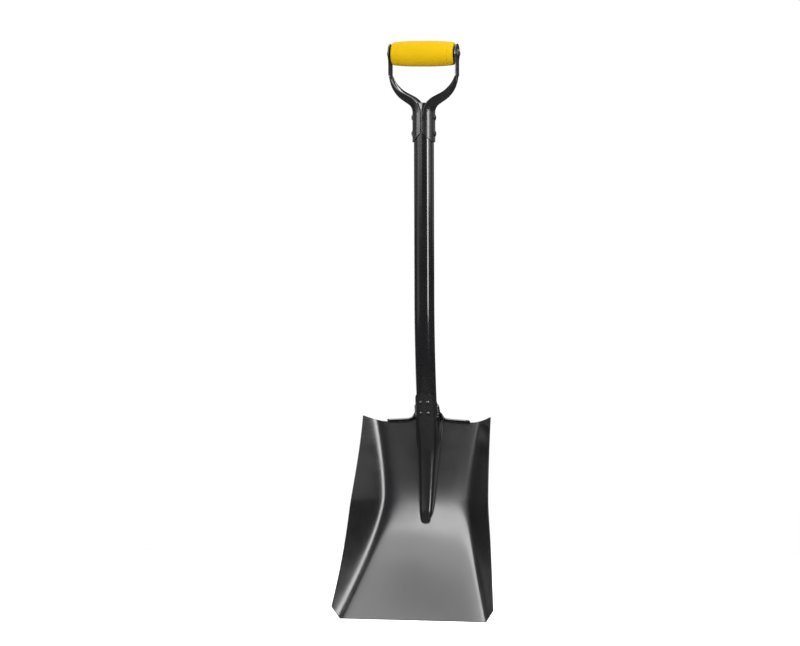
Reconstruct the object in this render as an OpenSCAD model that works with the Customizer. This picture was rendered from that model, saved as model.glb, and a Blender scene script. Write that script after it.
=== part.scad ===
// Square-mouth shovel, all steel, with a riveted D-handle and a free-turning barrel grip.
// +Z runs up the shaft and the load face of the blade looks towards -Y.
// The origin is the middle of the cutting edge, and every size is in millimetres.

/* [Blade] */
// Length of the straight cutting edge
mouth_w = 260; // [240:1:270]
// Widest part of the blade, just above the cutting edge
blade_w = 292; // [280:1:300]
// Width across the two wing tips at the top
wing_tip_w = 230; // [220:1:235]
// Height of the wing tips above the cutting edge
blade_h = 346; // [342:1:360]
// Thickness of the blade sheet
blade_t = 2; // [1.5:0.1:2.5]
// Narrowest width of the flat pan, between the two bends
waist_w = 150; // [135:1:160]
// Height of that waist above the cutting edge
waist_z = 201; // [180:1:220]
// Rise of a wing for each millimetre of its width
wing_slope = 0.98; // [0.6:0.01:1]
// Lean of the pan from upright at the cutting edge
mouth_lean = 35; // [33:1:37]
// Lean of the pan from upright at the top
top_lean = 5; // [4:0.5:6]
// Height of the pan's change of slope
knee_z = 155; // [150:1:160]
// Depth of the shallow dish in the middle of the pan
pan_dish = 3; // [0:0.5:6]
// Distance from the middle to the outer end of a tread
tread_end = 74; // [60:1:80]
// Forward reach of a tread
tread_reach = 13; // [8:1:18]

/* [Frog and socket] */
// Outer half width of the socket
socket_r = 19.9; // [19.7:0.1:21]
// Height of the socket's top edge
socket_top = 387; // [385:1:395]
// Height of the lower tip of the frog
frog_tip = 163; // [150:1:175]
// Half width of the frog just above its tip
frog_tip_r = 10; // [7:0.5:12]

/* [Shaft] */
// Outer diameter of the shaft tube
tube_d = 35; // [34:0.1:35]
// Wall of the shaft tube
tube_wall = 1.5; // [1.2:0.1:2.5]
// Height of the tube's top end
tube_top = 893; // [880:1:896]
// Distance of the shaft's axis behind the cutting edge
shaft_y = 90; // [88:1:92]
// Height at which the tube starts to bend back
crank_z = 560; // [550:1:570]
// Radius of that bend, on the tube's axis
crank_r = 1200; // [1150:10:1400]
// Height at which the tube ends inside the frog
tube_end_z = 336; // [334:1:340]

/* [D-handle] */
// Thickness of the strap steel
strap_t = 2.2; // [1.8:0.1:2.4]
// Distance between the outer faces of the two strap eyes
handle_w = 122; // [116:1:128]
// Height at which the arms leave the tube
flare_z = 876; // [870:1:880]
// Steepest lean of the arms from upright
flare_lean = 56; // [52:1:58]
// Lowest point of the strap sleeves
sleeve_z = 824; // [815:1:830]
// Width of a strap neck, from front to back
neck_w = 24; // [20:1:26]
// Outer diameter of the strap eyes
eye_d = 34; // [30:1:36]
// Diameter of the rivets through the sleeves
rivet_d = 5; // [4:0.5:6]

/* [Grip] */
// Height of the grip's axis
grip_z = 977.7; // [975:0.1:985]
// Largest diameter of the barrel
grip_d = 44.4; // [40:0.1:46]
// Diameter of the barrel beside its rounded ends
grip_end_d = 39; // [36:0.1:40]
// Room between each end of the barrel and the strap beside it
end_room = 3.2; // [1:0.1:4]
// Diameter of the pin inside the barrel
pin_d = 10; // [8:0.5:12]

/* [Hidden] */
$fn = 64;

fit = 0.1;                       // gap round a rivet or pin in its hole
tube_r = tube_d / 2;
knee_soft = 84;                  // how gently the pan's slope changes
bend_soft = 10;                  // how gently a wing leaves the pan
bend_flare = 56;                 // outward run of a bend from the waist down to the mouth
bend_spread = 17;                // outward run of a bend from the waist up to the top
corner_h = 24;                   // height of the cut corners of the mouth
tread_root = 337;                // height of the pan's edge beside a tread's outer end
tread_fall = 3;                  // slope of a tread towards its outer end
frog_join = 306;                 // below this height the frog tapers
socket_slope = 24;               // fall of the socket's top edge towards its sides
tip_round = 9;                   // how much higher the frog starts at its sides than in the middle
frog_tip_h = 7;                  // height of the frog just above its tip
foot = 2;                        // width of the fillet between frog and pan
row_z = 300;                     // below this height the mesh rows are level

sleeve_gap = 0.25;               // room between the tube and a sleeve
sleeve_mid = tube_r + sleeve_gap + strap_t / 2;
sleeve_out = sleeve_mid + strap_t / 2;
sleeve_lift = 17;                // rise of a sleeve's lower edge towards its seams
sleeve_steps = 4;
wrap = 84;                       // a sleeve's reach round the tube to each side
wrap_steps = 5;
flare_in = 18;                   // radius of the arm's outward bend
flare_out = 50;                  // radius of the arm's bend back to upright
eye_t = strap_t + 0.4;
neck_x = handle_w / 2 - eye_t / 2;

rivet_heights = [839, 867];
sleeve_head_r = 5.5;
sleeve_head_h = 2.2;
socket_rivet_r = 2;
socket_head_r = 3.4;
socket_head_h = 1.8;
pin_fit = 0.1;                   // radial gap that lets the barrel turn
pin_neck_r = 4;
pin_head_r = 8;
pin_head_h = 4.5;
grip_half = neck_x - eye_t / 2 - end_room;
grip_round = 4;                  // rounding of the barrel's ends
groove = 0.5;                    // depth of the two rings near the barrel's ends
groove_half = 1.2;
groove_inset = 11;               // distance of a ring from the barrel's end
weld_beads = 6;
weld_low = 343;
weld_step = 4.4;
weld_r = 3.2;
socket_rivet_heights = [355, 374];
socket_rivet_turn = 20;          // angle of the socket rivets from the front line

// ---- curves shared by the parts ----

// 0 for large negative t, t for large positive t, with a rounded corner of size k.
function soft(t, k) = (t + sqrt(t * t + k * k)) / 2;

// Middle of the pan sheet: distance behind the cutting edge at height z.
function pan_y(z) = tan(top_lean) * z
    + (tan(mouth_lean) - tan(top_lean)) * (soft(knee_z, knee_soft) - soft(knee_z - z, knee_soft));

// Lean of the tube's axis at height z, and its distance behind the cutting edge.
function axis_lean(z) = asin(max(0, crank_z - z) / crank_r);
function axis_y(z) = shaft_y + crank_r * (1 - cos(axis_lean(z)));

// Half width of the flat pan at height z.
function bend_x(z) = z < waist_z
    ? waist_w / 2 + bend_flare * pow(1 - z / waist_z, 1.35)
    : waist_w / 2 + bend_spread * pow((z - waist_z) / (blade_h - 6 - waist_z), 1.6);

// Half width of the whole blade at height z, with the cut corners at the mouth.
function edge_x(z) = min(
    wing_tip_w / 2 + (blade_w - wing_tip_w) * 0.525 * pow(max(0, 1 - z / blade_h), 1.6),
    mouth_w / 2 + z * (blade_w - mouth_w) / 2 / corner_h);

// Forward rise of the sheet at distance x from the middle.
function wing_rise(x, z) = wing_slope * (1 + 0.2 * exp(-pow((z - waist_z) / 90, 2)))
    * soft(abs(x) - bend_x(z), bend_soft);

// Backward sag of the pan at distance x from the middle, none at the mouth and above the frog.
function dish(x, z) = z > frog_join ? 0 : pan_dish * pow(sin(180 * z / frog_join), 2) * exp(-pow(x / 65, 2));

// Half width and height of the frog at height z.
function nose(z) = sqrt(max(0, min(1, (z - frog_tip) / 14)));
function frog_r(z) = z > frog_join ? socket_r
    : max(4, frog_tip_r + (socket_r - frog_tip_r) * (z - frog_tip) / (frog_join - frog_tip));
function frog_leg(z) = z > frog_join ? max(0, pan_y(z) - axis_y(z)) : 0;
function frog_rise(z, late) = z < frog_tip ? 0
    : z > frog_join ? frog_leg(z) + socket_r / cos(axis_lean(z))
    : nose(z - late) * (frog_tip_h + (socket_r / cos(axis_lean(frog_join)) - frog_tip_h)
        * pow((z - frog_tip) / (frog_join - frog_tip), 0.9));

// ---- blade sheet, as a grid of columns across and rows up ----

arc_steps = 12;                  // columns over the frog
side_steps = 13;                 // columns from the frog to a wing's edge
arc_half = arc_steps / 2;
last_col = arc_steps + 2 * side_steps + 2;
mid_col = last_col / 2;

// Point of the sheet's middle line in column i at height z: [x, forward rise].
function col_point(i, z) = let(
    k = abs(i - mid_col),
    side = i < mid_col ? -1 : 1,
    turn = k / arc_half * 88,
    leg = frog_leg(z),
    foot_x = frog_r(z) + foot,
    q = (k - arc_half - 1) / side_steps,
    x = k <= arc_half ? (frog_r(z) - blade_t / 2) * sin(turn) : foot_x + (edge_x(z) - foot_x) * q,
    late = tip_round * pow(k / arc_half, 2),
    crown = leg + (frog_rise(z, late) - leg - blade_t / 2 * nose(z - late)) * cos(turn))
    [side * x, wing_rise(x, z) - dish(x, z) + (k <= arc_half ? crown : 0)];

// Top of column i: the socket in the middle, then the gusset, the tread and the wing tip.
function col_top(i) = let(
    k = abs(i - mid_col),
    x = col_point(mid_col + k, blade_h - 6)[0],
    rise = max(0, (x - tread_end - 4) / (wing_tip_w / 2 - tread_end - 4)))
    k <= arc_half
    ? socket_top - socket_slope * pow(k / arc_half, 4)
    : x < tread_end + 4
    ? tread_root + (tread_end - x) * tan(tread_fall) + 16 * exp(-(x - socket_r - foot) / 4)
    : tread_root + (blade_h - tread_root) * pow(rise, 1.7);

row_heights = concat(
    [0, corner_h / 2, corner_h],
    [for (z = 38; z < frog_tip - 5; z = z + 14) z],
    [frog_tip, frog_tip + 2, frog_tip + 6, frog_tip + 14, frog_tip + 26],
    [for (z = frog_tip + 42; z < row_z - 5; z = z + 16) z],
    [for (n = [0:6]) row_z + (socket_top - row_z) * n / 6]);
last_row = len(row_heights) - 1;

// Height of row j in column i: level low down, and spread up to the column's top above row_z.
function grid_z(i, j) = let(z = row_heights[j])
    z <= row_z ? z : row_z + (z - row_z) * (col_top(i) - row_z) / (socket_top - row_z);

// Level offset from the middle of the sheet to its back face.
function col_offset(i, z) = let(
    a = col_point(max(0, i - 1), z),
    b = col_point(min(last_col, i + 1), z),
    run = b[0] - a[0],
    back = a[1] - b[1],
    size = sqrt(run * run + back * back))
    [-back, run] / size * blade_t / 2;

function grid_point(i, j, face) = let(
    z = grid_z(i, j),
    p = col_point(i, z),
    o = col_offset(i, z) * face)
    [p[0] + o[0], pan_y(z) - p[1] + o[1], z];

// Closed thin solid from two matching grids of points, cols wide and rows high.
// Seen from in front of the first grid, columns run to the right and rows run up.
module grid_solid(front, back, cols, rows) {
    n = cols * rows;
    last = cols - 1;
    top = (rows - 1) * cols;
    quad = function(a, b, c, d) [[a, b, c], [a, c, d]];
    polyhedron(concat(front, back), concat(
        [for (j = [0:rows - 2]) for (i = [0:cols - 2]) let(a = j * cols + i)
            each concat(quad(a, a + cols, a + cols + 1, a + 1),
                quad(n + a, n + a + 1, n + a + cols + 1, n + a + cols))],
        [for (i = [0:cols - 2])
            each concat(quad(i, i + 1, n + i + 1, n + i),
                quad(top + i, n + top + i, n + top + i + 1, top + i + 1))],
        [for (j = [0:rows - 2]) let(a = j * cols)
            each concat(quad(a, n + a, n + a + cols, a + cols),
                quad(a + last, a + cols + last, n + a + cols + last, n + a + last))]),
        convexity = 6);
}

module blade_sheet() {
    face = function(side) [for (j = [0:last_row]) for (i = [0:last_col]) grid_point(i, j, side)];
    grid_solid(face(-1), face(1), last_col + 1, last_row + 1);
}

// Forward-turned foot tread on the +X side: a bent strip that starts inside the pan's top edge.
module tread() {
    inner = socket_r + foot + 2;
    bend = 5;
    root = tread_root + (tread_end - inner) * tan(tread_fall);
    turn = 75;
    lip = tread_reach - bend * (1 - cos(turn));
    strip = function(r) concat(
        [for (a = [0:turn / 5:turn]) [-bend + r * cos(a), r * sin(a)]],
        [[-bend + r * cos(turn) - lip * sin(turn), r * sin(turn) + lip * cos(turn)]]);
    outer = strip(bend + blade_t / 2);
    hollow = strip(bend - blade_t / 2);
    points = concat([[0.6, -6]], outer, [for (i = [len(hollow) - 1:-1:0]) hollow[i]], [[-0.6, -6]]);
    translate([inner, pan_y(root - 5), root - 3])
        rotate([0, tread_fall, 0])
            rotate([90, 0, 90])
                linear_extrude((tread_end - inner) / cos(tread_fall))
                    polygon(points);
}

// ---- shared pieces ----

// Spherical cap of radius r and height h on the XY plane, pointing up.
module dome(r, h) {
    ball = (r * r + h * h) / (2 * h);
    rotate_extrude()
        intersection() {
            translate([0, h - ball])
                circle(ball, $fn = 96);
            square([r, h]);
        }
}

// Solid bar of radius r along the shaft's axis: a straight stretch above a bent one.
module shaft_bar(r) {
    translate([0, shaft_y, crank_z])
        cylinder(r = r, h = tube_top - crank_z);
    translate([0, shaft_y + crank_r, crank_z])
        rotate([-90, 0, 0])
            rotate([0, 90, 0])
                rotate_extrude(angle = axis_lean(tube_end_z))
                    translate([crank_r, 0])
                        circle(r);
}

// Places a child on the tube's axis at height z, square to the tube.
module on_axis(z) {
    translate([0, axis_y(z), z])
        rotate([axis_lean(z), 0, 0])
            children();
}

// Places children on the front of the socket, one for each of its rivets, pointing outwards.
module at_socket_rivets() {
    for (z = socket_rivet_heights)
        for (turn = [-socket_rivet_turn, socket_rivet_turn])
            on_axis(z)
                rotate([90, 0, turn])
                    children();
}

// Cylinder along X through the shaft at height z, centred on the shaft.
module cross_bar(r, half, z) {
    translate([-half, shaft_y, z])
        rotate([0, 90, 0])
            cylinder(r = r, h = 2 * half);
}

// Rivet along X with a domed head outside each sleeve.
module sleeve_rivet(z) {
    cross_bar(rivet_d / 2, sleeve_out + 0.1, z);
    for (side = [-1, 1])
        translate([side * (sleeve_out + 0.02), shaft_y, z])
            rotate([0, side * 90, 0])
                dome(sleeve_head_r, sleeve_head_h);
}

// ---- strap of the D-handle on the +X side, as a grid of stations along and columns round ----

// Middle line of the strap: [x, z, lean, how far the trough has flattened].
flare_run = neck_x - sleeve_mid - (flare_in + flare_out) * (1 - cos(flare_lean));
flare_len = flare_run / sin(flare_lean);
neck_z = flare_z + (flare_in + flare_out) * sin(flare_lean) + flare_len * cos(flare_lean);
function flat_part(z) = max(0, min(1, (z - flare_z) / (neck_z - flare_z)));
stations = concat(
    [for (a = [0:flare_lean / 5:flare_lean]) let(z = flare_z + flare_in * sin(a))
        [sleeve_mid + flare_in * (1 - cos(a)), z, a]],
    [for (a = [flare_lean:-flare_lean / 8:-0.01]) let(z = neck_z - flare_out * sin(a))
        [neck_x - flare_out * (1 - cos(a)), z, a]],
    [for (n = [1:2]) [neck_x, neck_z + (grip_z - 9 - neck_z) * n / 2, 0]]);

function strap_point(s, turn, face) = let(
    f = flat_part(s[1]),
    ease = f * f * (3 - 2 * f),
    half = (sleeve_mid * sin(wrap) * (1 - ease) + neck_w / 2 * ease) / sin(wrap),
    deep = sleeve_mid * pow(1 - f, 0.7) + 0.5 * f,
    across = half * sin(turn),
    in = deep * (1 - cos(turn)),
    normal = [deep * sin(turn), half * cos(turn)],
    o = normal / norm(normal) * face * strap_t / 2,
    out = o[1] - in)
    [s[0] + out * cos(s[2]), shaft_y + across + o[0], s[1] - out * sin(s[2])];

// Point of the straight sleeve: its lower edge is lowest at the side and rises to the seams.
function sleeve_point(part, turn, face) = let(
    low = sleeve_z + sleeve_lift * pow(abs(turn) / wrap, 2),
    r = sleeve_mid + face * strap_t / 2)
    [r * cos(turn), shaft_y + r * sin(turn), low + (flare_z - low) * part];

module strap_sheet() {
    turns = [for (n = [-wrap_steps:wrap_steps]) wrap * n / wrap_steps];
    cols = len(turns);
    rows = sleeve_steps + len(stations);
    side = function(face) [for (j = [0:rows - 1]) for (turn = turns)
        j < sleeve_steps ? sleeve_point(j / sleeve_steps, turn, face)
        : strap_point(stations[j - sleeve_steps], turn, face)];
    grid_solid(side(1), side(-1), cols, rows);
}

module strap() {
    difference() {
        union() {
            strap_sheet();
            translate([neck_x - eye_t / 2, shaft_y, grip_z])
                rotate([0, 90, 0])
                    cylinder(d = eye_d, h = eye_t);
        }
        cross_bar(pin_neck_r + fit, handle_w, grip_z);
        for (z = rivet_heights)
            cross_bar(rivet_d / 2 + fit, handle_w, z);
    }
}

// Irregular weld bead along the +X side of the socket.
module socket_weld() {
    for (n = [0:weld_beads - 1])
        on_axis(weld_low + n * weld_step)
            translate([tube_r + 1.4 + 0.5 * sin(n * 130), -1.5 + 0.6 * cos(n * 100), 0])
                sphere(r = weld_r + 0.4 * sin(n * 75));
}

// Outline of the grip barrel: half length along X, radius along Y.
function barrel_r(u) = grip_d / 2 - (grip_d - grip_end_d) / 2 * pow(abs(u) / grip_half, 3)
    - groove * max(0, 1 - abs(abs(u) - grip_half + groove_inset) / groove_half);

// ---- the pieces ----

module blade() {
    color("#26282a")
        difference() {
            union() {
                blade_sheet();
                tread();
                mirror([1, 0, 0])
                    tread();
            }
            at_socket_rivets()
                cylinder(r = socket_rivet_r + fit, h = socket_r + 5);
        }
}

module shaft_tube() {
    color("#202224")
        difference() {
            shaft_bar(tube_r);
            shaft_bar(tube_r - tube_wall);
            for (z = rivet_heights)
                cross_bar(rivet_d / 2 + fit, tube_d, z);
            at_socket_rivets()
                cylinder(r = socket_rivet_r + fit, h = socket_r + 5);
        }
}

module handle_strap_left() {
    color("#2a2c2e")
        mirror([1, 0, 0])
            strap();
}

module handle_strap_right() {
    color("#2a2c2e")
        strap();
}

module grip_barrel() {
    reach = grip_half - grip_round;
    bore_r = pin_d / 2 + pin_fit;
    outline = concat(
        [for (u = [0:4:reach - 16]) [barrel_r(u), u]],
        [for (u = [reach - 13:1.2:reach]) [barrel_r(u), u]],
        [for (a = [15:15:90]) [barrel_r(reach) - grip_round * (1 - cos(a)), reach + grip_round * sin(a)]]);
    color("#f2c200")
        translate([0, shaft_y, grip_z])
            rotate([0, 90, 0])
                rotate_extrude()
                    polygon(concat(outline, [[bore_r, grip_half], [bore_r, -grip_half]],
                        [for (i = [len(outline) - 1:-1:1]) [outline[i][0], -outline[i][1]]]));
}

module grip_pin() {
    color("#303234") {
        cross_bar(pin_d / 2, neck_x - eye_t / 2 - 0.1, grip_z);
        cross_bar(pin_neck_r, neck_x + eye_t / 2 + 0.2, grip_z);
        for (side = [-1, 1])
            translate([side * (neck_x + eye_t / 2 + 0.1), shaft_y, grip_z])
                rotate([0, side * 90, 0])
                    dome(pin_head_r, pin_head_h);
    }
}

module sleeve_rivet_upper() {
    color("#303234")
        sleeve_rivet(rivet_heights[1]);
}

module sleeve_rivet_lower() {
    color("#303234")
        sleeve_rivet(rivet_heights[0]);
}

module socket_rivets() {
    color("#303234")
        at_socket_rivets() {
            translate([0, 0, tube_r - tube_wall - 1])
                cylinder(r = socket_rivet_r, h = socket_r - tube_r + tube_wall + 1.6);
            translate([0, 0, socket_r + 0.35])
                dome(socket_head_r, socket_head_h);
        }
}

module socket_weld_left() {
    color("#26282a")
        mirror([1, 0, 0])
            socket_weld();
}

module socket_weld_right() {
    color("#26282a")
        socket_weld();
}

blade();
shaft_tube();
handle_strap_left();
handle_strap_right();
grip_barrel();
grip_pin();
sleeve_rivet_upper();
sleeve_rivet_lower();
socket_rivets();
socket_weld_left();
socket_weld_right();
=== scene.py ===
"""Looks of the all-steel square-mouth shovel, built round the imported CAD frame.

Lengths in this file are millimetres until mesh_object() turns them into metres.
"""
import math

import bmesh
import bpy
import numpy as np
from mathutils import Matrix, Vector


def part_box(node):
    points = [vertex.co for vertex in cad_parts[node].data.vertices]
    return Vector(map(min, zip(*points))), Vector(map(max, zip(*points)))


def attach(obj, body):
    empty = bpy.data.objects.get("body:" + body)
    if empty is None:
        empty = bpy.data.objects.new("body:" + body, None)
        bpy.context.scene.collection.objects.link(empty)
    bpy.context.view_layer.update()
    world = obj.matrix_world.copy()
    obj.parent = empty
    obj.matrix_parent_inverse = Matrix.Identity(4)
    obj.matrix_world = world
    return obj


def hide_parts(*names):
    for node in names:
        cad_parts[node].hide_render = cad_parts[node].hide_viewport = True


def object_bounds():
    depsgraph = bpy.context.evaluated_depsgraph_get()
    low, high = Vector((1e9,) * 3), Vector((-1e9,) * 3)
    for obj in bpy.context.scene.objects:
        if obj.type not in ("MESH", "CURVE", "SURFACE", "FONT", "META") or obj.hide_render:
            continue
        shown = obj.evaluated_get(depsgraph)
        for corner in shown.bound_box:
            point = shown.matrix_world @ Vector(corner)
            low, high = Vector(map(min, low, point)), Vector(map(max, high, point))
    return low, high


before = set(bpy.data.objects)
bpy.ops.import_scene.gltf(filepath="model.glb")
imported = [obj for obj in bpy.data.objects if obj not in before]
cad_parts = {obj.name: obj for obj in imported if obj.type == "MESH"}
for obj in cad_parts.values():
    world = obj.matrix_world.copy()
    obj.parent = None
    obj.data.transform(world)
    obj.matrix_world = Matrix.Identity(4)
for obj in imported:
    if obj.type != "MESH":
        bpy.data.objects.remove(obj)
cad_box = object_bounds()

MM = 0.001


def centre_mm(node):
    """Middle of a CAD node's box, in millimetres."""
    low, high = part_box(node)
    return [(a + b) / 2 / MM for a, b in zip(low, high)]


# ---- driving dimensions ----

GRIP_CENTRE = centre_mm("grip_barrel")
SHAFT_Y = GRIP_CENTRE[1]
GRIP_Z = GRIP_CENTRE[2]
GRIP_HALF = (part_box("grip_barrel")[1][0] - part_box("grip_barrel")[0][0]) / 2 / MM
GRIP_R = (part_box("grip_barrel")[1][2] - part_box("grip_barrel")[0][2]) / 2 / MM

BLADE_T = 2.0            # thickness of the blade sheet
MOUTH_W = 260.0          # straight cutting edge
BLADE_W = 292.0          # widest part, just above the mouth
WING_TIP_W = 230.0       # across the wing tips
BLADE_H = 346.0          # height of the wing tips
WAIST_W, WAIST_Z = 150.0, 201.0
BEND_FLARE, BEND_SPREAD = 56.0, 17.0
WING_SLOPE, BEND_SOFT = 0.98, 10.0
MOUTH_LEAN, TOP_LEAN = math.radians(35), math.radians(5)
KNEE_Z, KNEE_SOFT = 155.0, 84.0
CORNER_H = 24.0
TREAD_END, TREAD_REACH, TREAD_FALL = 74.0, 13.0, math.radians(3)
TREAD_ROOT = 337.0       # pan edge beside a tread's outer end
TREAD_BEND, TREAD_TURN = 5.0, math.radians(75)
TREAD_CORNER = 5.0       # how far in from its end a tread's lip starts to narrow

SOCKET_R, SOCKET_TOP = 19.9, 387.0
FROG_TIP, FROG_TIP_R, FROG_TIP_H, FROG_JOIN = 163.0, 10.0, 7.0, 306.0
PAN_DISH = 3.0           # depth of the shallow dish in the middle of the pan
TIP_ROUND = 9.0          # how much higher the frog starts at its sides
FOOT = 2.0               # width of the fillet between frog and pan
LEVEL_Z = 300.0          # mesh rows are level below this height
EDGE_INSET = 0.8         # keeps the leaning cut edges of the sheet inside the CAD's box

TUBE_R, TUBE_WALL, TUBE_TOP, TUBE_END = 17.5, 1.5, 893.0, 336.0
CRANK_Z, CRANK_R = 560.0, 1200.0

STRAP_T, SLEEVE_GAP, WRAP = 2.2, 0.25, math.radians(84)
SLEEVE_MID = TUBE_R + SLEEVE_GAP + STRAP_T / 2
SLEEVE_Z, SLEEVE_LIFT, FLARE_Z = 824.0, 17.0, 876.0
FLARE_LEAN, FLARE_IN, FLARE_OUT = math.radians(56), 18.0, 50.0
NECK_X, NECK_W, EYE_R, EYE_T = 59.7, 24.0, 16.8, 2.2

PIN_R, PIN_NECK_R, PIN_HEAD_R, PIN_HEAD_H = 5.0, 4.0, 8.0, 4.2
RIVET_R, RIVET_HEAD_R, RIVET_HEAD_H = 2.5, 5.5, 1.9
SLEEVE_RIVET_Z = {"sleeve_rivet_upper": 867.0, "sleeve_rivet_lower": 839.0}
SOCKET_RIVET_Z, SOCKET_RIVET_TURN, SOCKET_HEAD_R = (355.0, 374.0), math.radians(20), 3.4


# ---- curves of the blade, as in the CAD source ----

def soft(t, k):
    """0 for large negative t, t for large positive t, with a rounded corner of size k."""
    return (t + np.sqrt(t * t + k * k)) / 2


def pan_y(z):
    low, high = math.tan(MOUTH_LEAN), math.tan(TOP_LEAN)
    return high * z + (low - high) * (soft(KNEE_Z, KNEE_SOFT) - soft(KNEE_Z - z, KNEE_SOFT))


def axis_lean(z):
    return np.arcsin(np.maximum(0, CRANK_Z - z) / CRANK_R)


def axis_y(z):
    return SHAFT_Y + CRANK_R * (1 - np.cos(axis_lean(z)))


def bend_x(z):
    below = WAIST_W / 2 + BEND_FLARE * np.maximum(0, 1 - z / WAIST_Z) ** 1.35
    span = BLADE_H - 6 - WAIST_Z
    above = WAIST_W / 2 + BEND_SPREAD * (np.maximum(0, z - WAIST_Z) / span) ** 1.6
    return np.where(z < WAIST_Z, below, above)


def edge_x(z):
    side = WING_TIP_W / 2 + (BLADE_W - WING_TIP_W) * 0.525 * np.maximum(0, 1 - z / BLADE_H) ** 1.6
    corner = MOUTH_W / 2 + z * (BLADE_W - MOUTH_W) / 2 / CORNER_H
    return np.minimum(side, corner)


def wing_rise(x, z):
    slope = WING_SLOPE * (1 + 0.2 * np.exp(-((z - WAIST_Z) / 90) ** 2))
    return slope * soft(np.abs(x) - bend_x(z), BEND_SOFT)


def dish(x, z):
    """Backward sag of the pan, none at the mouth and above the frog."""
    along = np.sin(math.pi * np.minimum(z, FROG_JOIN) / FROG_JOIN) ** 2
    return PAN_DISH * along * np.exp(-(x / 65) ** 2)


def frog_shape(z, late):
    """Half width, straight leg, crest height and nose factor of the frog; late rounds its tip."""
    up = (z - FROG_TIP) / (FROG_JOIN - FROG_TIP)
    nose = np.sqrt(np.clip((z - late - FROG_TIP) / 14, 0, 1))
    half = np.clip(FROG_TIP_R + (SOCKET_R - FROG_TIP_R) * up, 4, SOCKET_R)
    leg = np.where(z > FROG_JOIN, np.maximum(0, pan_y(z) - axis_y(np.maximum(z, FROG_JOIN))), 0)
    crest = SOCKET_R / np.cos(axis_lean(np.maximum(z, FROG_JOIN)))
    lower = nose * (FROG_TIP_H + (crest - FROG_TIP_H) * np.clip(up, 0, 1) ** 0.9)
    return half, leg, np.where(z > FROG_JOIN, leg + crest, lower), nose


# ---- mesh helpers ----

def mesh_object(name, verts, faces):
    """A smooth-shaded mesh object from millimetre vertices."""
    mesh = bpy.data.meshes.new(name)
    mesh.from_pydata([tuple(v) for v in np.asarray(verts) * MM], [], faces)
    mesh.validate()
    mesh.update()
    mesh.shade_smooth()
    obj = bpy.data.objects.new(name, mesh)
    bpy.context.scene.collection.objects.link(obj)
    return obj


def grid_faces(rows, cols, wrap=False):
    """Quads of a grid whose points run across and then up; wrap closes it sideways."""
    faces = []
    for j in range(rows - 1):
        for i in range(cols if wrap else cols - 1):
            right = (i + 1) % cols
            low, high = j * cols, (j + 1) * cols
            faces.append((low + i, low + right, high + right, high + i))
    return faces


def smooth_lines(values, passes, axis):
    """Averages each value with its neighbours along one axis; the two ends stay."""
    values = np.moveaxis(values.copy(), axis, 0)
    for _ in range(passes):
        values[1:-1] = (values[:-2] + 2 * values[1:-1] + values[2:]) / 4
    return np.moveaxis(values, 0, axis)


def thicken(obj, thickness, edge):
    """Gives a middle surface its thickness, and rounds the cut edges."""
    solid = obj.modifiers.new("sheet", "SOLIDIFY")
    solid.thickness = thickness * MM
    solid.offset = 0
    solid.use_even_offset = False
    add_bevel(obj, edge)


def add_bevel(obj, width, segments=2):
    bevel = obj.modifiers.new("edges", "BEVEL")
    bevel.width = width * MM
    bevel.segments = segments
    bevel.limit_method = "ANGLE"
    bevel.angle_limit = math.radians(50)
    bevel.harden_normals = True


def lathe(name, outline, sides=96):
    """Turns an outline of (radius, height) points about Z. A radius of 0 closes an end."""
    turn = np.linspace(0, 2 * math.pi, sides, endpoint=False)
    verts = [(r * math.cos(a), r * math.sin(a), h) for r, h in outline for a in turn]
    obj = mesh_object(name, verts, grid_faces(len(outline), sides, wrap=True))
    weld_points(obj)
    return obj


def weld_points(obj):
    """Merges points that lie together, such as a lathe's ring of radius 0."""
    bm = bmesh.new()
    bm.from_mesh(obj.data)
    bmesh.ops.remove_doubles(bm, verts=bm.verts, dist=0.002 * MM)
    bmesh.ops.recalc_face_normals(bm, faces=bm.faces)
    bm.to_mesh(obj.data)
    bm.free()
    obj.data.shade_smooth()


def placed(obj, origin, x_axis, z_axis):
    """Moves an object's points so that its own +Z and +X lie along the given directions."""
    z = Vector(z_axis).normalized()
    x = (Vector(x_axis) - z * Vector(x_axis).dot(z)).normalized()
    y = z.cross(x)
    shift = Vector(origin) * MM
    for v in obj.data.vertices:
        p = v.co.copy()
        v.co = x * p.x + y * p.y + z * p.z + shift
    return obj


def joined(name, objs):
    """One object made of several."""
    bpy.ops.object.select_all(action="DESELECT")
    for o in objs:
        o.select_set(True)
    bpy.context.view_layer.objects.active = objs[0]
    bpy.ops.object.join()
    objs[0].name = name
    objs[0].data.name = name
    return objs[0]


def stands_for(obj, body, node, material):
    """Puts a finished piece in place of its CAD node."""
    obj.data.materials.clear()
    obj.data.materials.append(material)
    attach(obj, body)
    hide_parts(node)


# ---- materials ----

def node_material(name):
    mat = bpy.data.materials.new(name)
    mat.use_nodes = True
    tree = mat.node_tree
    return mat, tree, tree.nodes["Principled BSDF"]


def add_node(tree, kind, **inputs):
    node = tree.nodes.new(kind)
    for key, value in inputs.items():
        node.inputs[key.replace("_", " ")].default_value = value
    return node


def noise(tree, coords, scale, detail=4, roughness=0.5):
    node = add_node(tree, "ShaderNodeTexNoise", Scale=scale, Detail=detail, Roughness=roughness)
    tree.links.new(coords, node.inputs["Vector"])
    return node.outputs["Fac"]


def ramp(tree, fac, stops):
    """Colour ramp from (position, colour or grey) stops."""
    node = tree.nodes.new("ShaderNodeValToRGB")
    points = node.color_ramp.elements
    while len(points) < len(stops):
        points.new(0.5)
    for point, (at, colour) in zip(points, stops):
        point.position = at
        point.color = (colour,) * 3 + (1,) if isinstance(colour, float) else (*colour, 1)
    tree.links.new(fac, node.inputs["Fac"])
    return node.outputs["Color"]


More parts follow.
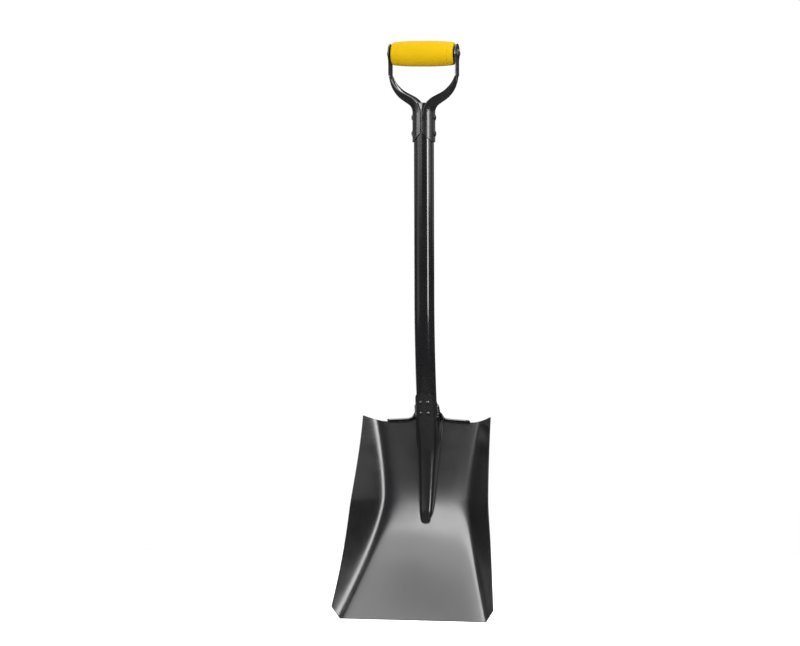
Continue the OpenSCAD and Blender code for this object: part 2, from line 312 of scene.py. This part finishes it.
def mixed(tree, fac, a, b, mode="MIX"):
    node = tree.nodes.new("ShaderNodeMix")
    node.data_type = "RGBA"
    node.blend_type = mode
    factor, first, second = [s for s in node.inputs if s.enabled]
    for value, socket in ((fac, factor), (a, first), (b, second)):
        if isinstance(value, bpy.types.NodeSocket):
            tree.links.new(value, socket)
        elif isinstance(value, tuple):
            socket.default_value = (*value, 1)
        else:
            socket.default_value = value
    return [s for s in node.outputs if s.enabled][0]


def bump(tree, height, strength, distance, under=None):
    node = add_node(tree, "ShaderNodeBump", Strength=strength, Distance=distance * MM)
    tree.links.new(height, node.inputs["Height"])
    if under is not None:
        tree.links.new(under, node.inputs["Normal"])
    return node.outputs["Normal"]


def enamel(name, tone, rough, peel=0.35, wear=0.25, lumps=0.0):
    """Black stoved enamel: soft colour drift, orange peel, fine dust and slightly rubbed edges."""
    mat, tree, shader = node_material(name)
    coords = tree.nodes.new("ShaderNodeTexCoord").outputs["Object"]
    drift = noise(tree, coords, 14, 3)
    speck = noise(tree, coords, 1600, 2, 0.7)
    dark = tuple(c * 0.8 for c in tone)
    light = tuple(c * 1.25 for c in tone)
    colour = ramp(tree, drift, [(0.3, dark), (0.7, light)])
    dust = ramp(tree, speck, [(0.68, 0.0), (0.8, 1.0)])
    colour = mixed(tree, dust, colour, tuple(c * 1.4 + 0.002 for c in tone))
    edge = tree.nodes.new("ShaderNodeNewGeometry").outputs["Pointiness"]
    rubbed = mixed(tree, 1.0, ramp(tree, edge, [(0.53, 0.0), (0.62, wear)]),
                   ramp(tree, noise(tree, coords, 90, 5, 0.65), [(0.42, 0.0), (0.6, 1.0)]), "MULTIPLY")
    colour = mixed(tree, rubbed, colour, (0.12, 0.12, 0.122))
    tree.links.new(colour, shader.inputs["Base Color"])
    haze = ramp(tree, noise(tree, coords, 32, 5, 0.6), [(0.3, rough * 0.88), (0.7, rough * 1.14)])
    tree.links.new(haze, shader.inputs["Roughness"])
    normal = bump(tree, noise(tree, coords, 420, 2), peel, 0.05)
    if lumps:
        normal = bump(tree, noise(tree, coords, 260, 3), 1.0, lumps, normal)
    tree.links.new(normal, shader.inputs["Normal"])
    shader.inputs["Metallic"].default_value = 0.0
    shader.inputs["IOR"].default_value = 1.5
    shader.inputs["Specular IOR Level"].default_value = 1.0
    return mat


def grip_plastic(name):
    """Yellow moulded plastic with a fine matte texture, faint flow marks and scuffs."""
    mat, tree, shader = node_material(name)
    coords = tree.nodes.new("ShaderNodeTexCoord").outputs["Object"]
    flow = noise(tree, coords, 22, 3)
    colour = ramp(tree, flow, [(0.3, (0.345, 0.216, 0.0003)), (0.7, (0.37, 0.232, 0.0003))])
    scuff = ramp(tree, noise(tree, coords, 130, 6, 0.7), [(0.66, 0.0), (0.78, 0.3)])
    colour = mixed(tree, scuff, colour, (0.31, 0.19, 0.002))
    tree.links.new(colour, shader.inputs["Base Color"])
    haze = ramp(tree, noise(tree, coords, 60, 4), [(0.3, 0.50), (0.7, 0.60)])
    tree.links.new(haze, shader.inputs["Roughness"])
    grain = bump(tree, noise(tree, coords, 1500, 2), 0.07, 0.02)
    tree.links.new(grain, shader.inputs["Normal"])
    shader.inputs["IOR"].default_value = 1.48
    shader.inputs["Specular IOR Level"].default_value = 0.06
    return mat


# ---- the pieces ----

def blade_rows():
    low = np.linspace(EDGE_INSET, CORNER_H, 10)
    middle = np.linspace(CORNER_H, LEVEL_Z, 116)[1:]
    top = np.linspace(LEVEL_Z, SOCKET_TOP, 34)[1:]
    return np.concatenate([low, middle, top])


def blade_sheet():
    """Pressed sheet: pan, wings, hollow frog and socket, and the two forward-turned treads."""
    arc, side = 26, 112
    rows = blade_rows()
    k = np.arange(arc + side + 1)
    over_frog = k <= arc
    turn = np.where(over_frog, k / arc, 1) * math.radians(88)
    q = np.clip((k - arc - 1) / (side - 1), 0, 1)

    top_x = SOCKET_R + FOOT + (edge_x(BLADE_H - 6.0) - SOCKET_R - FOOT) * q
    on_tread = (~over_frog) & (top_x <= TREAD_END)
    tread_top = (TREAD_ROOT - 5 + (TREAD_END - top_x) * math.tan(TREAD_FALL)
                 + 13 * np.exp(-(top_x - SOCKET_R - FOOT) / 4))
    tip_part = np.clip((top_x - TREAD_END - 5) / (WING_TIP_W / 2 - TREAD_END - 5), 0, 1)
    wing_top = TREAD_ROOT - 2 + (BLADE_H - TREAD_ROOT + 2) * tip_part ** 1.6
    top = np.where(over_frog, SOCKET_TOP - 24 * (k / arc) ** 4, np.where(on_tread, tread_top, wing_top))

    z = np.where(rows[:, None] <= LEVEL_Z, rows[:, None],
                 LEVEL_Z + (rows[:, None] - LEVEL_Z) * (top - LEVEL_Z) / (SOCKET_TOP - LEVEL_Z))
    half, leg, rise, nose = frog_shape(z, TIP_ROUND * np.minimum(k / arc, 1) ** 2)
    outer = half + FOOT + (edge_x(z) - EDGE_INSET - half - FOOT) * q
    x = np.where(over_frog, (half - BLADE_T / 2) * np.sin(turn), outer)
    crown = leg + (rise - leg - BLADE_T / 2 * nose) * np.cos(turn)
    forward = wing_rise(x, z) - dish(x, z) + np.where(over_frog, crown, 0)

    x = np.concatenate([-x[:, :0:-1], x], axis=1)
    forward = np.concatenate([forward[:, :0:-1], forward], axis=1)
    z = np.concatenate([z[:, :0:-1], z], axis=1)
    smooth_x = smooth_lines(x, 3, 1)
    across = smooth_lines(forward, 3, 1)
    light = smooth_lines(across, 4, 0)
    heavy = smooth_lines(light, 60, 0)
    near_frog = np.clip((60 - np.abs(x)) / 20, 0, 1)
    share = np.clip((z - 235) / 40, 0, 1) * np.clip((345 - z) / 30, 0, 1)
    smooth_forward = across + (light + (heavy - light) * share - across) * near_frog
    y = pan_y(z) - smooth_forward
    verts = np.stack([smooth_x, y, z], axis=-1).reshape(-1, 3).tolist()
    cols = x.shape[1]
    faces = grid_faces(len(rows), cols)
    add_treads(verts, faces, cols, len(rows), on_tread, top_x)
    obj = mesh_object("blade_sheet", verts, faces)
    thicken(obj, BLADE_T, 0.45)
    return obj


def add_treads(verts, faces, cols, rows, on_tread, top_x):
    """Carries the sheet on over the tread columns, bending forward into a lip."""
    middle = cols // 2
    lip = TREAD_REACH - TREAD_BEND * (1 - math.cos(TREAD_TURN))
    steps = [(a, 0.0) for a in np.linspace(0, TREAD_TURN, 9)[1:]]
    steps += [(TREAD_TURN, length) for length in np.linspace(0, 1, 8)[1:]]
    for side in (-1, 1):
        columns = [middle + side * k for k in np.nonzero(on_tread)[0]]
        near_end = [(top_x[abs(c - middle)] - TREAD_END + TREAD_CORNER) / TREAD_CORNER
                    for c in columns]
        reach = [1 - 0.45 * max(0, part) ** 2 for part in near_end]
        roots = [(rows - 1) * cols + c for c in columns]
        below = roots
        for angle, length in steps:
            row = []
            for root, share in zip(roots, reach):
                x, y, z = verts[root]
                out = TREAD_BEND * (1 - math.cos(angle)) + length * lip * share * math.sin(TREAD_TURN)
                up = TREAD_BEND * math.sin(angle) + length * lip * share * math.cos(TREAD_TURN)
                row.append(len(verts))
                verts.append([x, y - out, z + up])
            for a in range(len(columns) - 1):
                quad = (below[a], below[a + 1], row[a + 1], row[a])
                faces.append(quad if side > 0 else quad[::-1])
            below = row


def shaft_tube():
    """Cranked tube with a wall, open at both ends."""
    sides = 96
    heights = np.concatenate([np.linspace(TUBE_END, CRANK_Z, 40),
                              np.linspace(CRANK_Z, TUBE_TOP, 30)[1:]])
    edge = 0.4
    rings = [(TUBE_R, z) for z in heights]
    rings[0] = (TUBE_R - edge, heights[0])
    rings.insert(1, (TUBE_R, heights[0] + edge))
    rings[-1] = (TUBE_R, TUBE_TOP - edge)
    rings.append((TUBE_R - 0.3 * edge, TUBE_TOP - 0.3 * edge))
    rings.append((TUBE_R - edge, TUBE_TOP))
    inner = TUBE_R - TUBE_WALL
    rings += [(inner + edge, TUBE_TOP), (inner, TUBE_TOP - edge)]
    rings += [(inner, z) for z in heights[-2:0:-1]] + [(inner, heights[0])]
    verts = []
    for r, z in rings:
        lean = axis_lean(z)
        mid = np.array([0, axis_y(z), z])
        across = np.array([0, math.cos(lean), math.sin(lean)])
        for a in np.linspace(0, 2 * math.pi, sides, endpoint=False):
            verts.append(mid + np.array([r * math.cos(a), 0, 0]) + across * r * math.sin(a))
    faces = grid_faces(len(rings), sides, wrap=True)
    last = (len(rings) - 1) * sides
    faces += [(last + i, last + (i + 1) % sides, (i + 1) % sides, i) for i in range(sides)]
    obj = mesh_object("shaft_tube_skin", verts, faces)
    weld_points(obj)
    return obj


def strap_path():
    """Middle line of the right-hand strap: rows of (x, z, lean), from the flare to the eye's top."""
    bends = (FLARE_IN + FLARE_OUT) * (1 - math.cos(FLARE_LEAN))
    straight = (NECK_X - SLEEVE_MID - bends) / math.sin(FLARE_LEAN)
    neck_z = FLARE_Z + (FLARE_IN + FLARE_OUT) * math.sin(FLARE_LEAN) + straight * math.cos(FLARE_LEAN)
    path = [(SLEEVE_MID + FLARE_IN * (1 - math.cos(a)), FLARE_Z + FLARE_IN * math.sin(a), a)
            for a in np.linspace(0, FLARE_LEAN, 14)]
    x, z, _ = path[-1]
    path += [(x + d * math.sin(FLARE_LEAN), z + d * math.cos(FLARE_LEAN), FLARE_LEAN)
             for d in np.linspace(0, straight, 8)[1:-1]]
    path += [(NECK_X - FLARE_OUT * (1 - math.cos(a)), neck_z - FLARE_OUT * math.sin(a), a)
             for a in np.linspace(FLARE_LEAN, 0, 30)]
    eye_low = GRIP_Z - math.sqrt(EYE_R ** 2 - (NECK_W / 2) ** 2)
    path += [(NECK_X, z, 0.0) for z in np.linspace(neck_z, eye_low, 14)[1:]]
    start = math.asin((eye_low - GRIP_Z) / EYE_R)
    path += [(NECK_X, GRIP_Z + EYE_R * math.sin(a), 0.0)
             for a in np.linspace(start, math.radians(86), 34)[1:]]
    return path, neck_z


def strap(name, side):
    """Pressed strap: half sleeve, trough arm that flattens out, neck and round eye."""
    turns = np.linspace(-WRAP, WRAP, 49)
    verts = []
    sleeve_rows = 24
    for j in range(sleeve_rows):
        low = SLEEVE_Z + SLEEVE_LIFT * (np.abs(turns) / WRAP) ** 2
        z = low + (FLARE_Z - low) * j / sleeve_rows
        for t, height in zip(turns, z):
            verts.append((SLEEVE_MID * math.cos(t), SHAFT_Y + SLEEVE_MID * math.sin(t), height))
    path, neck_z = strap_path()
    part = np.clip([(z - FLARE_Z) / (neck_z - FLARE_Z) for _, z, _ in path], 0, 1)
    ease = part * part * (3 - 2 * part)
    half = SLEEVE_MID * math.sin(WRAP) * (1 - ease) + NECK_W / 2 * ease
    for n, (_, z, _) in enumerate(path):
        if part[n] >= 1:
            half[n] = max(half[n], math.sqrt(max(0, EYE_R ** 2 - (z - GRIP_Z) ** 2)))
        if z > GRIP_Z:
            half[n] = math.sqrt(max(0, EYE_R ** 2 - (z - GRIP_Z) ** 2))
    eye_start = next(n for n, p in enumerate(part) if p >= 1)
    half[:-24] = smooth_lines(half, 10, 0)[:-24]
    deep = SLEEVE_MID * (1 - part) ** 0.7 + 0.5 * part
    deep[eye_start:] *= np.linspace(1, 0, len(path) - eye_start) ** 0.5
    for (x, z, lean), wide, depth in zip(path, half, deep):
        for t in turns:
            inward = depth * (1 - math.cos(t))
            verts.append((x - inward * math.cos(lean), SHAFT_Y + wide * math.sin(t) / math.sin(WRAP),
                          z + inward * math.sin(lean)))
    verts = [(side * x, y, z) for x, y, z in verts]
    obj = mesh_object(name, verts, grid_faces(sleeve_rows + len(path), len(turns)))
    thicken(obj, STRAP_T, 0.5)
    return obj


def barrel():
    """Crowned barrel with rounded ends, two shallow rings and a parting line on each side."""
    reach = GRIP_HALF - 3
    ring_at, ring_half, ring_deep = GRIP_HALF - 11, 1.0, 0.45
    bore, sides = 5.1, 160
    crown = 2.7

    def radius(u):
        ring = ring_deep * max(0, 1 - (abs(abs(u) - ring_at) / ring_half) ** 2)
        return GRIP_R - crown * (abs(u) / GRIP_HALF) ** 3 - ring

    body = [(radius(u), u) for u in np.linspace(0, reach, 90)]
    end_r = radius(reach)
    body += [(end_r - 3 * (1 - math.cos(a)), reach + 3 * math.sin(a))
             for a in np.linspace(0, math.pi / 2, 9)[1:]]
    body += [(bore + 4.5, GRIP_HALF), (bore + 4, GRIP_HALF - 0.8), (bore + 0.5, GRIP_HALF - 0.8),
             (bore, GRIP_HALF - 1.3)]
    outline = [(r, -u) for r, u in body[:0:-1]] + body
    outline.append(outline[0])
    obj = lathe("grip_barrel_moulding", outline, sides)
    for v in obj.data.vertices:
        r = math.hypot(v.co.x, v.co.y)
        if r > (bore + 6) * MM:
            off_line = abs(v.co.x) / MM
            ridge = 0.14 * max(0.0, 1 - off_line / 0.9) * MM
            v.co.x *= 1 + ridge / r
            v.co.y *= 1 + ridge / r
    return placed(obj, (0, SHAFT_Y, GRIP_Z), (0, -1, 0), (1, 0, 0))


def dome_outline(r, h, base=0.0, steps=14):
    """Spherical cap of base radius r and height h, ending on the axis."""
    ball = (r * r + h * h) / (2 * h)
    full = math.asin(min(1, r / ball)) if h <= r else math.pi - math.asin(r / ball)
    return [(ball * math.sin(a), base + h - ball * (1 - math.cos(a)))
            for a in np.linspace(full, 0, steps)]


def two_headed_bar(name, parts, r_head, h_head, at_x, z):
    """Bar along X through the shaft with a domed head at each end. parts: (radius, half length)."""
    right = [(parts[0][0], 0.0)]
    for n, (r, half) in enumerate(parts):
        right.append((r, half))
        if n + 1 < len(parts):
            right.append((parts[n + 1][0], half))
    right.append((parts[-1][0], at_x))
    right.append((r_head - 0.3, at_x))
    right.append((r_head, at_x + 0.3))
    right += dome_outline(r_head, h_head, at_x + 0.3)[1:]
    outline = [(r, -u) for r, u in right[:0:-1]] + right
    obj = lathe(name, outline, 64)
    return placed(obj, (0, SHAFT_Y, z), (0, 0, 1), (1, 0, 0))


def socket_rivet_heads():
    """Four small domed heads on the front of the socket, with their shanks behind."""
    heads = []
    for n, z in enumerate(SOCKET_RIVET_Z):
        for side in (-1, 1):
            lean = float(axis_lean(z))
            turn = SOCKET_RIVET_TURN * side
            across = Vector((0, math.cos(lean), math.sin(lean)))
            out = Vector((1, 0, 0)) * math.sin(turn) - across * math.cos(turn)
            seat = SOCKET_R - 0.1
            outline = [(0, seat - 4), (2, seat - 4), (2, seat), (SOCKET_HEAD_R - 0.1, seat),
                       (SOCKET_HEAD_R, seat + 0.3)]
            outline += dome_outline(SOCKET_HEAD_R, 1.75, seat + 0.3)[1:]
            head = lathe("socket_rivet_%d%d" % (n, side > 0), outline, 48)
            heads.append(placed(head, (0, float(axis_y(z)), z), (1, 0, 0), out))
    return joined("socket_rivet_heads", heads)


def weld_bead(name, side):
    """Rippled weld bead along one side of the socket."""
    steps, sides = 120, 28
    low, high = 341.0, 368.0
    verts = []
    for j in range(steps + 1):
        f = j / steps
        z = low + (high - low) * f
        lean = float(axis_lean(z))
        ripple = (0.35 * abs(math.sin(f * math.pi * 9)) + 0.25 * math.sin(f * 23)
                  + 0.2 * math.sin(f * 41 + 1))
        taper = math.sqrt(max(0.0004, 1 - abs(2 * f - 1) ** 5))
        r = (2.9 + ripple) * taper
        mid = np.array([side * (TUBE_R + 1.2 + 0.3 * math.sin(f * 17)),
                        float(axis_y(z)) - 1.2 + 0.5 * math.cos(f * 13), z])
        across = np.array([0, math.cos(lean), math.sin(lean)])
        for a in np.linspace(0, 2 * math.pi, sides, endpoint=False):
            verts.append(mid + np.array([r * math.cos(a), 0, 0]) + across * r * 1.15 * math.sin(a))
    faces = grid_faces(steps + 1, sides, wrap=True)
    faces += [tuple(range(sides))[::-1], tuple(steps * sides + i for i in range(sides))]
    obj = mesh_object(name, verts, faces)
    weld_points(obj)
    return obj


# ---- stage, lights and camera ----

def white_floor():
    """Plain white disc under the shovel, dim in the reflections like the rest of the room."""
    floor = lathe("floor", [(0, 0), (1300, 0), (1300, -4), (0, -4)], 128)
    floor.location.z = cad_box[0][2] - 0.0002
    mat, tree, shader = node_material("pale_floor")
    coords = tree.nodes.new("ShaderNodeTexCoord").outputs["Object"]
    tint = ramp(tree, noise(tree, coords, 3), [(0.3, 0.93), (0.7, 0.95)])
    tree.links.new(tint, shader.inputs["Base Color"])
    shader.inputs["Roughness"].default_value = 0.9
    shader.inputs["Specular IOR Level"].default_value = 0.1
    shader.inputs["Emission Color"].default_value = (1, 1, 1, 1)
    shader.inputs["Emission Strength"].default_value = 0.5
    dim = add_node(tree, "ShaderNodeEmission", Strength=0.15)
    pick = tree.nodes.new("ShaderNodeMixShader")
    path = tree.nodes.new("ShaderNodeLightPath")
    tree.links.new(path.outputs["Is Glossy Ray"], pick.inputs["Fac"])
    tree.links.new(shader.outputs["BSDF"], pick.inputs[1])
    tree.links.new(dim.outputs["Emission"], pick.inputs[2])
    tree.links.new(pick.outputs["Shader"], tree.nodes["Material Output"].inputs["Surface"])
    floor.data.materials.append(mat)


def studio_world():
    """White backdrop for the eye, soft fill for diffuse light and a dark room in the reflections."""
    world = bpy.data.worlds.new("studio")
    bpy.context.scene.world = world
    world.use_nodes = True
    tree = world.node_tree
    fill = tree.nodes["Background"]
    fill.inputs["Color"].default_value = (1, 1, 1, 1)
    fill.inputs["Strength"].default_value = 0.4
    white = add_node(tree, "ShaderNodeBackground", Strength=1.0)
    white.inputs["Color"].default_value = (1, 1, 1, 1)
    room = add_node(tree, "ShaderNodeBackground", Strength=0.07)
    room.inputs["Color"].default_value = (0.95, 0.9, 1, 1)
    path = tree.nodes.new("ShaderNodeLightPath")
    for_gloss = tree.nodes.new("ShaderNodeMixShader")
    tree.links.new(path.outputs["Is Glossy Ray"], for_gloss.inputs["Fac"])
    tree.links.new(fill.outputs["Background"], for_gloss.inputs[1])
    tree.links.new(room.outputs["Background"], for_gloss.inputs[2])
    for_eye = tree.nodes.new("ShaderNodeMixShader")
    tree.links.new(path.outputs["Is Camera Ray"], for_eye.inputs["Fac"])
    tree.links.new(for_gloss.outputs["Shader"], for_eye.inputs[1])
    tree.links.new(white.outputs["Background"], for_eye.inputs[2])
    tree.links.new(for_eye.outputs["Shader"], tree.nodes["World Output"].inputs["Surface"])


def softbox(name, azimuth, elevation, distance, width, height, radiance, aim):
    """Rectangular area light facing the point aim; azimuth 0 is on the -Y side, 90 on +X."""
    light = bpy.data.lights.new(name, "AREA")
    light.shape = "RECTANGLE"
    light.size = width
    light.size_y = height
    light.energy = radiance * math.pi * width * height
    obj = bpy.data.objects.new(name, light)
    az, el = math.radians(azimuth), math.radians(elevation)
    away = Vector((math.sin(az) * math.cos(el), -math.cos(az) * math.cos(el), math.sin(el)))
    obj.location = Vector(aim) + away * distance
    obj.rotation_euler = away.to_track_quat("Z", "Y").to_euler()
    obj.visible_camera = False
    bpy.context.scene.collection.objects.link(obj)


def lights():
    """Four stacked softboxes front left, strips on the right, dim fills, one overhead, two behind."""
    blade_mid = (0, SHAFT_Y * MM, 0.2)
    shaft_mid = (0, SHAFT_Y * MM, 0.6)
    softbox("front_sill", -36, 20, 1.8, 1.6, 0.28, 0.5, blade_mid)
    softbox("front_low", -36, 31, 1.8, 1.6, 0.56, 6.0, blade_mid)
    softbox("front_mid", -34, 46, 1.8, 1.6, 0.42, 3.1, blade_mid)
    softbox("front_top", -30, 67, 1.7, 1.6, 0.95, 1.1, blade_mid)
    softbox("right_strip", 57, 32, 1.9, 0.46, 2.7, 8.0, (0, SHAFT_Y * MM, 0.45))
    softbox("right_high", 50, 56, 1.7, 0.6, 0.9, 7.0, blade_mid)
    softbox("right_dim", 96, 42, 2.0, 1.2, 2.4, 0.45, blade_mid)
    softbox("left_dim", -104, 40, 2.0, 1.2, 2.2, 0.22, blade_mid)
    softbox("left_low", -62, 0, 2.0, 1.3, 0.6, 0.38, shaft_mid)
    softbox("sleeve_side", 64, 0, 0.8, 0.4, 0.26, 2.0, (0, SHAFT_Y * MM, 0.83))
    softbox("overhead", 180, 62, 1.9, 2.4, 2.4, 1.6, (0, SHAFT_Y * MM, 0.5))
    softbox("back_left", 218, 12, 2.1, 0.5, 1.9, 1.3, shaft_mid)
    softbox("back_right", 140, 20, 2.1, 0.9, 1.6, 0.6, shaft_mid)


def camera():
    """Long lens, 14 degrees to the shovel's right and slightly above it."""
    azimuth, elevation, distance = math.radians(14), math.radians(3), 8.0
    scale = 1.74 * MM            # metres to a picture element at the shaft
    picture_w = 800
    shaft_right = 24.4           # the shaft stands this far right of the picture's middle
    aim_z = 0.510
    data = bpy.data.cameras.new("camera")
    data.sensor_width = 36.0
    data.lens = data.sensor_width * distance / (picture_w * scale)
    obj = bpy.data.objects.new("camera", data)
    bpy.context.scene.collection.objects.link(obj)
    right = Vector((math.cos(azimuth), math.sin(azimuth), 0))
    aim = Vector((0, SHAFT_Y * MM, aim_z)) - right * shaft_right * scale
    away = Vector((math.sin(azimuth) * math.cos(elevation), -math.cos(azimuth) * math.cos(elevation),
                   math.sin(elevation)))
    obj.location = aim + away * distance
    roll = math.radians(0.18)
    obj.rotation_euler = (away.to_track_quat("Z", "Y").to_matrix().to_4x4()
                          @ Matrix.Rotation(-roll, 4, "Z")).to_euler()
    bpy.context.scene.camera = obj


# ---- assembly ----

blade_paint = enamel("blade_enamel", (0.0068, 0.0066, 0.0070), 0.20, peel=0.05)
shaft_paint = enamel("shaft_enamel", (0.0045, 0.0045, 0.0048), 0.13, peel=0.05)
handle_paint = enamel("handle_enamel", (0.0050, 0.0050, 0.0054), 0.23, peel=0.04)
rivet_paint = enamel("rivet_enamel", (0.0055, 0.0055, 0.0060), 0.15, peel=0.05)
weld_paint = enamel("weld_enamel", (0.0055, 0.0055, 0.0060), 0.25, peel=0.2, lumps=0.4)

stands_for(blade_sheet(), "shovel", "blade", blade_paint)
stands_for(shaft_tube(), "shovel", "shaft_tube", shaft_paint)
for node, side in (("handle_strap_left", -1), ("handle_strap_right", 1)):
    stands_for(strap(node + "_skin", side), "shovel", node, handle_paint)
stands_for(barrel(), "grip", "grip_barrel", grip_plastic("grip_plastic"))

pin_parts = [(PIN_R, NECK_X - EYE_T / 2 - 0.1), (PIN_NECK_R, NECK_X)]
pin = two_headed_bar("grip_pin_rod", pin_parts, PIN_HEAD_R, PIN_HEAD_H, NECK_X + EYE_T / 2, GRIP_Z)
stands_for(pin, "shovel", "grip_pin", rivet_paint)
for node, height in SLEEVE_RIVET_Z.items():
    rivet = two_headed_bar(node + "_rod", [(RIVET_R, 19)], RIVET_HEAD_R, RIVET_HEAD_H,
                           SLEEVE_MID + STRAP_T / 2, height)
    stands_for(rivet, "shovel", node, rivet_paint)
stands_for(socket_rivet_heads(), "shovel", "socket_rivets", rivet_paint)
for node, side in (("socket_weld_left", -1), ("socket_weld_right", 1)):
    stands_for(weld_bead(node + "_bead", side), "shovel", node, weld_paint)

white_floor()
studio_world()
lights()
camera()
bpy.context.scene.view_settings.view_transform = "Standard"
